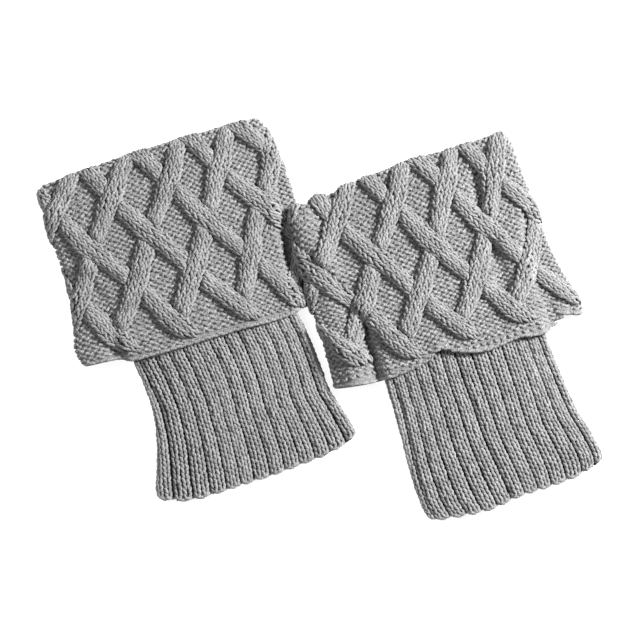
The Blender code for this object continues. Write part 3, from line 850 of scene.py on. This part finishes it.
def purl_ground(cuff, rng):
    """Purl bumps on the ground between the cables, over the front and both round edges."""
    first = math.ceil((-HALF_ROUND - PAST_EDGE - cuff.first_cable) / STITCH)
    last = math.floor((HALF_ROUND + PAST_EDGE - cuff.first_cable) / STITCH)
    columns = cuff.first_cable + STITCH * np.arange(first, last + 1)
    rows = FIRST_CROSSING + ROW * np.arange(-1, 37)
    across, down = np.meshgrid(columns, rows)
    across, down = across.ravel(), down.ravel()
    bare = CABLE_HALF - PURL_UNDER_CABLE
    parts = []
    for bow in loop_lines(PURL):
        middle_across = across + bow[:, 0].mean() * STITCH
        middle_down = down - bow[:, 1].mean() * ROW
        falling, rising = cable_share(cuff, middle_across, middle_down)
        falling_on = (np.abs(falling) < bare) & (middle_down < FALLING_END - 1)
        rising_on = (np.abs(rising) < bare) & (middle_down < RISING_END - 1)
        lying_across, lying_down = drifted(cuff, middle_across, middle_down)
        hem = edge_line(cuff.flap_hem, lying_across)
        keep = ~(falling_on | rising_on) & (lying_down < hem - PURL_TO_HEM)
        count = int(keep.sum())
        x = across[keep, None] + bow[:, 0] * STITCH + rng.normal(0, PURL.stray_across, (count, 1))
        y = down[keep, None] - bow[:, 1] * ROW + rng.normal(0, PURL.stray_down, (count, 1))
        y = y + rng.normal(0, PURL_SLANT, (count, 1)) * (x - x.mean(axis=1, keepdims=True))
        edge = np.maximum(round_edge(x), smooth((4 - y) / 5))
        lift = (PURL.bow - 0.06 * edge) * bow[:, 2] + rng.normal(0, PURL.stray_lift, (count, 1))
        lift = lift + 0.3 * edge
        parts.append(bows_on(knit_surface(cuff), x, y, lift, PURL, rng, CLOTH_DEPTH))
    return joined(parts)


def cable_middle(cuff, falling_kind, number, down):
    """Where the middle line of one slanting cable crosses a row."""
    lean = 0.5 if falling_kind else -0.5
    columns = number + 0.5 + lean * (down - FIRST_CROSSING) / CROSSING_ROWS
    wobble = CABLE_WOBBLE * np.sin(down / 9.0 + 2.4 * number + (1.0 if falling_kind else 0.0))
    return cuff.first_cable + REPEAT * columns + wobble


def crossing_at(falling_kind, down):
    """The distance to the nearest crossing, in crossings, and whether this cable lies on top there."""
    row = (down - FIRST_CROSSING) / CROSSING_ROWS
    crossing = np.rint(row)
    return np.abs(row - crossing), crossing % 2 == (0 if falling_kind else 1)


def cable_half(falling_kind, down):
    """Half a cable's width at a row."""
    away, over = crossing_at(falling_kind, down)
    uneven = 0.05 * np.sin(down / 6.3 + (2.0 if falling_kind else 0.0))
    wider = np.where(over, CABLE_WIDER, CABLE_NARROWER) * (1 - smooth(away / 0.42))
    return CABLE_HALF * (1 + uneven + wider)


def other_cable(cuff, falling_kind, across, down):
    """How far away, across, the nearest cable of the other slant is."""
    falling, rising = cable_share(cuff, across, down)
    return np.abs(rising if falling_kind else falling)


def cable_lift(cuff, falling_kind, across, off, down):
    """How high a cable's yarn lies over the ground, at a place `off` its middle line."""
    away, over = crossing_at(falling_kind, down)
    half = cable_half(falling_kind, down)
    crown = CABLE_RISE * np.sqrt(np.maximum(1 - (CABLE_ROUND * off / half) ** 2, 0.0))
    swell = np.where(over, CABLE_HIGHER * (1 - smooth(away / 0.4)), 0.0)
    turned = np.clip((np.abs(across) - REACH) / FLAP_OUT, 0, math.pi)
    fade = (0.5 + 0.5 * np.cos(turned)) * (1 - CABLE_FOLD_FADE * smooth((4 - down) / 6))
    crown = (crown + swell) * fade - CABLE_FOOT
    dip = np.where(over, 1.0, smooth((other_cable(cuff, falling_kind, across, down) - DIP_START) / DIP_RUN))
    tail = 1 - smooth((down - cable_end(falling_kind) + 4) / END_RUN)
    return blend(CABLE_GONE, blend(CABLE_UNDER, crown, dip), tail)


def cable_end(falling_kind):
    return FALLING_END if falling_kind else RISING_END


def cable_strands(cuff, rng):
    """Cables three stitches wide: knit bows on a rounded core, along each slanting line of the lattice."""
    parts = []
    for falling_kind in (True, False):
        end = cable_end(falling_kind)
        rows = FIRST_CROSSING + ROW * np.arange(-2.5, (end - FIRST_CROSSING) / ROW, 1.0)
        for number in range(-9, 10):
            middle = cable_middle(cuff, falling_kind, number, rows)
            down = rows[np.abs(middle) < HALF_ROUND + PAST_ROUND]
            if len(down) < 3:
                continue
            for wale in (-1, 0, 1):
                for bow in loop_lines(CABLE_KNIT):
                    parts.append(cable_bows(cuff, falling_kind, number, down, wale, bow, rng))
            parts.append(cable_core(cuff, falling_kind, number, end))
    return joined(parts)


def cable_bows(cuff, falling_kind, number, down, wale, bow, rng):
    """One leg of each knit stitch along one of a cable's three columns, where no other cable lies over it."""
    stray = rng.normal(0, CABLE_KNIT.stray_down, (len(down), 1))
    y = down[:, None] - (bow[:, 1] + 0.5 * (wale % 2)) * ROW + stray
    share = (wale + bow[:, 0]) / CABLE_WALES + rng.normal(0, CABLE_KNIT.stray_across, (len(down), 1))
    off = share * cable_half(falling_kind, y)
    x = cable_middle(cuff, falling_kind, number, y) + off
    _, over = crossing_at(falling_kind, y.mean(axis=1))
    other = other_cable(cuff, falling_kind, x.mean(axis=1), y.mean(axis=1))
    shown = over | (other > HIDDEN_WITHIN)
    x, y, off = x[shown], y[shown], off[shown]
    bend = CABLE_KNIT.bow + rng.normal(0, CABLE_BEND_STRAY, (len(x), 1))
    lift = cable_lift(cuff, falling_kind, x, off, y) - CABLE_STITCH_SINK + bend * bow[:, 2]
    lift = lift + rng.normal(0, CABLE_KNIT.stray_lift, (len(x), 1))
    return bows_on(knit_surface(cuff), x, y, lift, CABLE_KNIT, rng)


def cable_core(cuff, falling_kind, number, end):
    """The closed core of one cable, which its bows lie on."""
    down = np.arange(FIRST_CROSSING - 2.5 * ROW, end, ROW * 0.7)
    down = down[np.abs(cable_middle(cuff, falling_kind, number, down)) < HALF_ROUND + PAST_ROUND]
    share, y = np.meshgrid(CORE_SHARES, down)
    off = share * cable_half(falling_kind, y)
    x = cable_middle(cuff, falling_kind, number, y) + off
    lift = cable_lift(cuff, falling_kind, x, off, y) - CORE_DEPTH
    top, _ = with_normals(knit_surface(cuff), x, y, lift)
    base, _ = with_normals(knit_surface(cuff), x[:, ::-1], y, np.full(x.shape, -CLOTH_DEPTH - 0.2))
    ring = np.concatenate([top, base], axis=1)
    rows, columns = ring.shape[:2]
    index = np.arange(rows * columns).reshape(rows, columns)
    beside = np.roll(index, -1, axis=1)
    quads = np.stack([index[:-1], index[1:], beside[1:], beside[:-1]], axis=-1)
    faces = np.concatenate([quads.reshape(-1), index[0], index[-1, ::-1]])
    sizes = np.concatenate([np.full(quads.size // 4, 4), [columns, columns]])
    # Painted shade: the core, seen in the gaps between its bows, is coloured dark
    return ring.reshape(-1, 3), faces, sizes, plain_attributes(ring.shape[:2], 0.12)


def flap_band(cuff, rng):
    """The cast-off edge along the flap's hem, over its front and round edges: bows along it that overlap."""
    parts = []
    columns = cuff.first_cable + STITCH * np.arange(-19, 20)
    columns = columns[np.abs(columns) < HALF_ROUND + PAST_ROUND]
    count = len(columns)
    hem = edge_line(cuff.flap_hem, columns)
    along = np.linspace(-0.55, 0.55, BOW_STEPS)
    for chain in HEM_CHAINS:
        x = columns[:, None] + (chain.start + along) * STITCH
        y = (hem - chain.inset)[:, None] + chain.slant * along + rng.normal(0, 0.12, (count, 1))
        lift = -chain.depth + 0.18 * np.cos(along * math.pi) + rng.normal(0, 0.08, (count, 1))
        place, out = with_normals(partial(flap_surface, cuff), x, y, lift)
        parts.append(loops_mesh(place, out, bow_radii(BAND_YARN, BAND_THIN, count, rng), rng.random(count)))
    return joined(parts)


def flap_cloth(cuff):
    """The flap's cloth as one closed wall, over the fold and down both faces, its underside pressed flat."""
    front = np.linspace(-HALF_ROUND, HALF_ROUND, 121)
    back = np.linspace(HALF_ROUND, 3 * HALF_ROUND, 101)[1:-1]
    back = np.where(back > 2 * HALF_ROUND, back - 4 * HALF_ROUND, back)
    places = np.concatenate([front, back])
    fold = fold_line(cuff, over_place(places))
    hem = edge_line(cuff.flap_hem, over_place(places))
    on_back = smooth((np.abs(places) - HALF_ROUND - 2) / 6)
    rings, painted_shade_factor = [], []
    for share in np.linspace(0, 1, 72):
        down = blend(fold, hem, share)
        pressed = pressed_knit(cuff, places, down)
        over_fold = smooth((fold - down + 5) / 5)
        plain = blend(CLOTH_DEPTH, EDGE_CLOTH_DEPTH, np.maximum(round_edge(places), over_fold))
        rings.append(flap_surface(cuff, places, down, blend(plain, pressed, on_back)))
        # Painted shade: the front's cloth, seen between the loops, is darkened, the pressed underside is
        # darker where its relief is deeper, and the inside rings are darkest
        painted_shade_factor.append(blend(0.38, 0.8 * (1 - pressed), on_back))
    for share in np.linspace(1, 0, 12):
        down = blend(fold, hem, share) - 0.8 * (share == 1)
        rings.append(flap_surface(cuff, places, down, CLOTH_DEPTH + CLOTH_THICK))
    leg = fold - math.pi * FOLD_RADIUS - (LEG_DOWN - fold)
    rings.append(flap_surface(cuff, places, leg, CLOTH_DEPTH))
    for turn in np.linspace(math.pi, 0, 9)[:-1]:
        rings.append(flap_surface(cuff, places, fold - turn * FOLD_RADIUS, EDGE_CLOTH_DEPTH))
    inside = np.zeros((len(rings) - len(painted_shade_factor), len(places)))
    return closed_grid(np.stack(rings), np.concatenate([np.stack(painted_shade_factor), inside]))


def pressed_knit(cuff, places, down):
    """How deep the relief is where the flap lies on it: least on the cables, most between purl bumps."""
    falling, rising = cable_share(cuff, places, down)
    near = np.minimum(np.abs(falling), np.abs(rising))
    ground = smooth((near - CABLE_HALF + 1.5) / 2.5)
    columns = np.cos(2 * math.pi * places / STITCH)
    rows = np.cos(2 * math.pi * (down - FIRST_CROSSING) / ROW)
    bump = 0.5 + 0.5 * columns * rows
    return 0.15 + 0.55 * ground + 0.25 * (1 - bump)


# The ribbed tube's stitches


def rib_hem_line(cuff, rib_place):
    """How far down the tube's hem is: the drawn line, with each rib's end a little lower than the furrows."""
    place = rib_surface(cuff, rib_place, cuff.hem)
    gap = np.abs(rib_place - np.rint(rib_place))
    return edge_line(cuff.rib_hem, place[..., 0]) + 0.5 - SCALLOP * (1 - smooth(gap / SCALLOP_SHARE))


def rib_stitches(cuff, rng):
    """Two columns of knit bows on every rib, over the front and round both edges, and the cast-off edge."""
    parts = []
    surface = partial(rib_surface, cuff)
    top = cuff.waist - RIB_START
    for rib in range(-2, len(cuff.furrows) + 1):
        for wale in (-WALE_OFFSET, WALE_OFFSET):
            middle = rib + 0.5 + wale
            hem = rib_hem_line(cuff, np.array(middle))
            total = int(round((hem - top) / RIB_ROW))
            down = hem - LAST_RIB_ROW - RIB_ROW * np.arange(total)
            for bow in loop_lines(RIB_KNIT):
                x = middle + bow[:, 0] * WALE_SHARE + rng.normal(0, RIB_KNIT.stray_across, (total, 1))
                y = down[:, None] - bow[:, 1] * RIB_ROW + rng.normal(0, RIB_KNIT.stray_down, (total, 1))
                end = smooth((y - hem + 5) / 5)
                lift = -RIB_STITCH_SINK + rib_crown(cuff, rib, x) - RIB_END_SINK * end
                lift = lift + RIB_KNIT.bow * bow[:, 2] + rng.normal(0, RIB_KNIT.stray_lift, (total, 1))
                place, out = with_normals(surface, x, y, lift, RIB_STEPS)
                radii = bow_radii(RIB_KNIT.yarn, RIB_KNIT.thin, total, rng)
                parts.append(loops_mesh(place, out, radii, rng.random(total)))
            parts.append(cast_off(cuff, surface, rib, middle, rng))
    return joined(parts)


def rib_crown(cuff, rib, x):
    """How the yarn of one rib sinks from its middle to the furrows beside it."""
    away = np.minimum(np.abs(x - rib - 0.5) / RIB_HALF, 1.09)
    return -(RIB_ROUND * away**2 + RIB_FALL * away**7) * furrow_share(cuff, x)


def cast_off(cuff, surface, rib, middle, rng):
    """Two bows lying along the hem over the ends of one column, one on its face and one on its lower edge."""
    share = np.linspace(-0.3, 0.3, BOW_STEPS)
    x = middle + share + np.zeros((2, 1))
    hem = rib_hem_line(cuff, x)
    crown = rib_crown(cuff, rib, x)
    y = hem - np.array([[0.7], [0.1]]) + 1.6 * share + rng.normal(0, 0.12, (2, 1))
    lift = crown - np.array([[1.05], [1.8]]) + 0.3 * np.cos(share * 10) + rng.normal(0, 0.1, (2, 1))
    place, out = with_normals(surface, x, y, lift, RIB_STEPS)
    return loops_mesh(place, out, bow_radii(CAST_OFF_YARN, CAST_OFF_THIN, 2, rng), rng.random(2))


def rib_ring(cuff, steps, back, down, inset, front_depth, back_depth):
    """A ring round the ribbed tube, as its front with both round edges and its back. It lies at a level, or
    where `down` is None it follows the hem, `inset` above it."""
    level = rib_hem_line(cuff, steps) - inset if down is None else np.full(len(steps), float(down))
    front = rib_surface(cuff, steps, level, front_depth)
    under = blend(front[-1], front[0], back[:, None])
    hem = edge_line(cuff.rib_hem, under[:, 0]) - inset
    level = hem if down is None else np.full(len(back), float(down))
    first = rib_surface(cuff, np.full_like(back, steps[0]), level, back_depth)
    last = rib_surface(cuff, np.full_like(back, steps[-1]), level, back_depth)
    return front, blend(last, first, back[:, None])


def rib_cloth(cuff):
    """The ribbed tube's cloth as one closed wall, its underside pressed flat between furrows."""
    count = len(cuff.furrows)
    steps = np.linspace(-RIBS_ROUND, count - 1 + RIBS_ROUND, 8 * (count + 3) + 1)
    back = np.linspace(0, 1, 62)[1:-1]
    ribs = 0.5 + 0.5 * np.cos(2 * math.pi * back * (count + 1))
    levels = [SEAM_DOWN, 40, 60, 80, 100, *np.linspace(112, 140, 8), *np.linspace(146, cuff.hem - 8, 9)]
    depth = RIB_CLOTH_DEPTH + RIB_GROOVE_SHARE * furrow_depth(cuff, steps)
    rings, painted_shade_factor = [], []
    for down in [*levels, None]:
        front, under = rib_ring(cuff, steps, back, down, 0.6, depth, 0.0)
        under[:, 2] = under[:, 2] + PRESSED_RIB * (1 - ribs) + 0.1
        rings.append(np.concatenate([front, under]))
        # Painted shade: the front's cloth, seen between the rib stitches, is darkest, and the pressed
        # underside is lighter on its ribs and darker between them
        painted_shade_factor.append(np.concatenate([np.zeros(len(steps)), 0.7 * ribs]))
    for down in [None, *levels[::-3]]:
        rings.append(np.concatenate(rib_ring(cuff, steps, back, down, 1.0, RIB_WALL, RIB_WALL)))
        painted_shade_factor.append(np.zeros(len(steps) + len(back)))
    return closed_grid(np.stack(rings), np.stack(painted_shade_factor))


# Materials


def knit_material(name, seed):
    """Matte marled wool: a tone for each loop, flecks of light and dark fibre, plies wound round the yarn,
    and painted shade that darkens it deep between the stitches and under each yarn.
    """
    material = bpy.data.materials.new(name)
    material.use_nodes = True
    nodes, links = material.node_tree.nodes, material.node_tree.links
    shader = nodes["Principled BSDF"]
    shader.inputs["Roughness"].default_value = 0.95
    shader.inputs["Specular IOR Level"].default_value = 0.25
    shader.inputs["Sheen Weight"].default_value = 0.25
    shader.inputs["Sheen Roughness"].default_value = 0.6

    def value(label):
        node = nodes.new("ShaderNodeAttribute")
        node.attribute_name = label
        return node.outputs["Fac"]

    def math_node(kind, first, second=None):
        node = nodes.new("ShaderNodeMath")
        node.operation = kind
        for socket, given in zip(node.inputs, (first, second)):
            if given is None:
                continue
            if isinstance(given, (int, float)):
                socket.default_value = given
            else:
                links.new(given, socket)
        return node.outputs[0]

    def noise(scale, detail, rough=0.6):
        place = nodes.new("ShaderNodeTexCoord")
        node = nodes.new("ShaderNodeTexNoise")
        node.noise_dimensions = "4D"
        node.inputs["W"].default_value = seed
        node.inputs["Scale"].default_value = scale
        node.inputs["Detail"].default_value = detail
        node.inputs["Roughness"].default_value = rough
        links.new(place.outputs["Object"], node.inputs["Vector"])
        return node.outputs["Fac"]

    turns = math_node("MULTIPLY", value("along"), PLY_TURNS)
    ply = math_node(
        "ADD",
        math_node("MULTIPLY", math_node("SINE", turns), value("ring_cos")),
        math_node("MULTIPLY", math_node("COSINE", turns), value("ring_sin")),
    )
    flecks = noise(FLECK_SCALE, 4)
    broad = noise(BROAD_SCALE, 2)
    mix = math_node("ADD", math_node("MULTIPLY", math_node("SUBTRACT", flecks, 0.5), FLECK_CONTRAST), 0.5)
    for source, contrast in ((value("tone"), TONE_CONTRAST), (broad, BROAD_CONTRAST)):
        mix = math_node("ADD", mix, math_node("MULTIPLY", math_node("SUBTRACT", source, 0.5), contrast))
    mix = math_node("ADD", mix, math_node("MULTIPLY", ply, PLY_CONTRAST))
    ramp = nodes.new("ShaderNodeValToRGB")
    ramp.color_ramp.elements[0].color = (*DARK_WOOL, 1)
    ramp.color_ramp.elements[1].color = (*LIGHT_WOOL, 1)
    links.new(mix, ramp.inputs["Fac"])
    # Painted shade: the wool's colour is scaled down where the shade attribute is low, deep between stitches,
    # under each yarn and on the cloth and cores beneath
    shade = nodes.new("ShaderNodeMapRange")
    for label, level in SHADE_LEVELS.items():
        shade.inputs[label].default_value = level
    links.new(value("painted_shade_factor"), shade.inputs["Value"])
    shaded = nodes.new("ShaderNodeVectorMath")
    shaded.operation = "SCALE"
    links.new(ramp.outputs["Color"], shaded.inputs[0])
    links.new(shade.outputs["Result"], shaded.inputs["Scale"])
    links.new(shaded.outputs["Vector"], shader.inputs["Base Color"])
    bump = nodes.new("ShaderNodeBump")
    bump.inputs["Strength"].default_value = 0.5
    bump.inputs["Distance"].default_value = 0.0005
    height = math_node("ADD", math_node("MULTIPLY", ply, 0.35), math_node("MULTIPLY", flecks, 1.0))
    links.new(height, bump.inputs["Height"])
    links.new(bump.outputs["Normal"], shader.inputs["Normal"])
    return material


def plain_material(name, colour, glow):
    material = bpy.data.materials.new(name)
    material.use_nodes = True
    shader = material.node_tree.nodes["Principled BSDF"]
    shader.inputs["Base Color"].default_value = (*colour, 1)
    shader.inputs["Roughness"].default_value = 0.9
    shader.inputs["Emission Color"].default_value = (1, 1, 1, 1)
    shader.inputs["Emission Strength"].default_value = glow
    return material


# The pair


def dress(cuff, knit, rng):
    """One cuff's pieces, each with its wool, slot and node, with the part's flap and tube hidden where the
    cloth stands in for them.
    """
    flap = mesh_piece(cuff.name + "_flap_cloth", cuff, *flap_cloth(cuff))
    purl_and_hem = joined([purl_ground(cuff, rng), flap_band(cuff, rng)])
    purl = mesh_piece(cuff.name + "_purl_ground", cuff, *purl_and_hem)
    cables = mesh_piece(cuff.name + "_cables", cuff, *cable_strands(cuff, rng))
    tube = mesh_piece(cuff.name + "_rib_cloth", cuff, *rib_cloth(cuff))
    ribs = mesh_piece(cuff.name + "_rib_stitches", cuff, *rib_stitches(cuff, rng))
    for piece in (flap, purl, cables, tube, ribs):
        piece.data.materials.append(knit)
        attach(piece, "root")
    for piece in (flap, purl, cables):
        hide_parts(cuff.name + "_cable_flap")
    for piece in (tube, ribs):
        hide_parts(cuff.name + "_rib_tube")


def stage():
    """A plain pale floor, a key light from the upper right, a soft fill, and a faint even world."""
    floor = bpy.data.meshes.new("floor")
    corners = [(x * FLOOR_HALF, y * FLOOR_HALF, 0) for x, y in ((-1, -1), (1, -1), (1, 1), (-1, 1))]
    floor.from_pydata(corners, [], [(0, 1, 2, 3)])
    ground = bpy.data.objects.new("floor", floor)
    bpy.context.scene.collection.objects.link(ground)
    ground.location = (0, 0, -FLOOR_BELOW)
    floor.materials.append(plain_material("pale_floor", (0.86, 0.86, 0.86), 0.8))

    def lamp(name, power, size, place, aim=(0, 0, 0)):
        data = bpy.data.lights.new(name, "AREA")
        data.energy = power
        data.shape = "DISK"
        data.size = size
        light = bpy.data.objects.new(name, data)
        light.location = place
        light.rotation_euler = (Vector(aim) - Vector(place)).to_track_quat("-Z", "Y").to_euler()
        bpy.context.scene.collection.objects.link(light)

    lamp("key", power=39.5, size=0.35, place=(1.0, 0.5, 0.78))
    lamp("fill", power=5, size=1.2, place=(-0.9, -0.1, 1.1))
    world = bpy.data.worlds.new("studio")
    world.use_nodes = True
    world.node_tree.nodes["Background"].inputs["Color"].default_value = (1, 1, 1, 1)
    world.node_tree.nodes["Background"].inputs["Strength"].default_value = 0.1
    bpy.context.scene.world = world
    bpy.context.scene.view_settings.view_transform = "Standard"


def camera():
    """Straight down on the pair, framed as in the photograph."""
    data = bpy.data.cameras.new("camera")
    data.sensor_width = 36.0
    data.lens = data.sensor_width * (EYE_HEIGHT - CLOTH_LEVEL) / (PHOTO_PIXELS * PIXEL)
    eye = bpy.data.objects.new("camera", data)
    eye.location = (-PAIR_SHIFT[0] * MM, -PAIR_SHIFT[1] * MM, EYE_HEIGHT)
    bpy.context.scene.collection.objects.link(eye)
    bpy.context.scene.camera = eye


def main():
    camera()
    stage()
    knit = knit_material("marled_grey_wool_painted_shade", seed=3.0)
    rng = np.random.default_rng(7)
    for cuff in (LEFT, RIGHT):
        dress(cuff, knit, rng)


main()
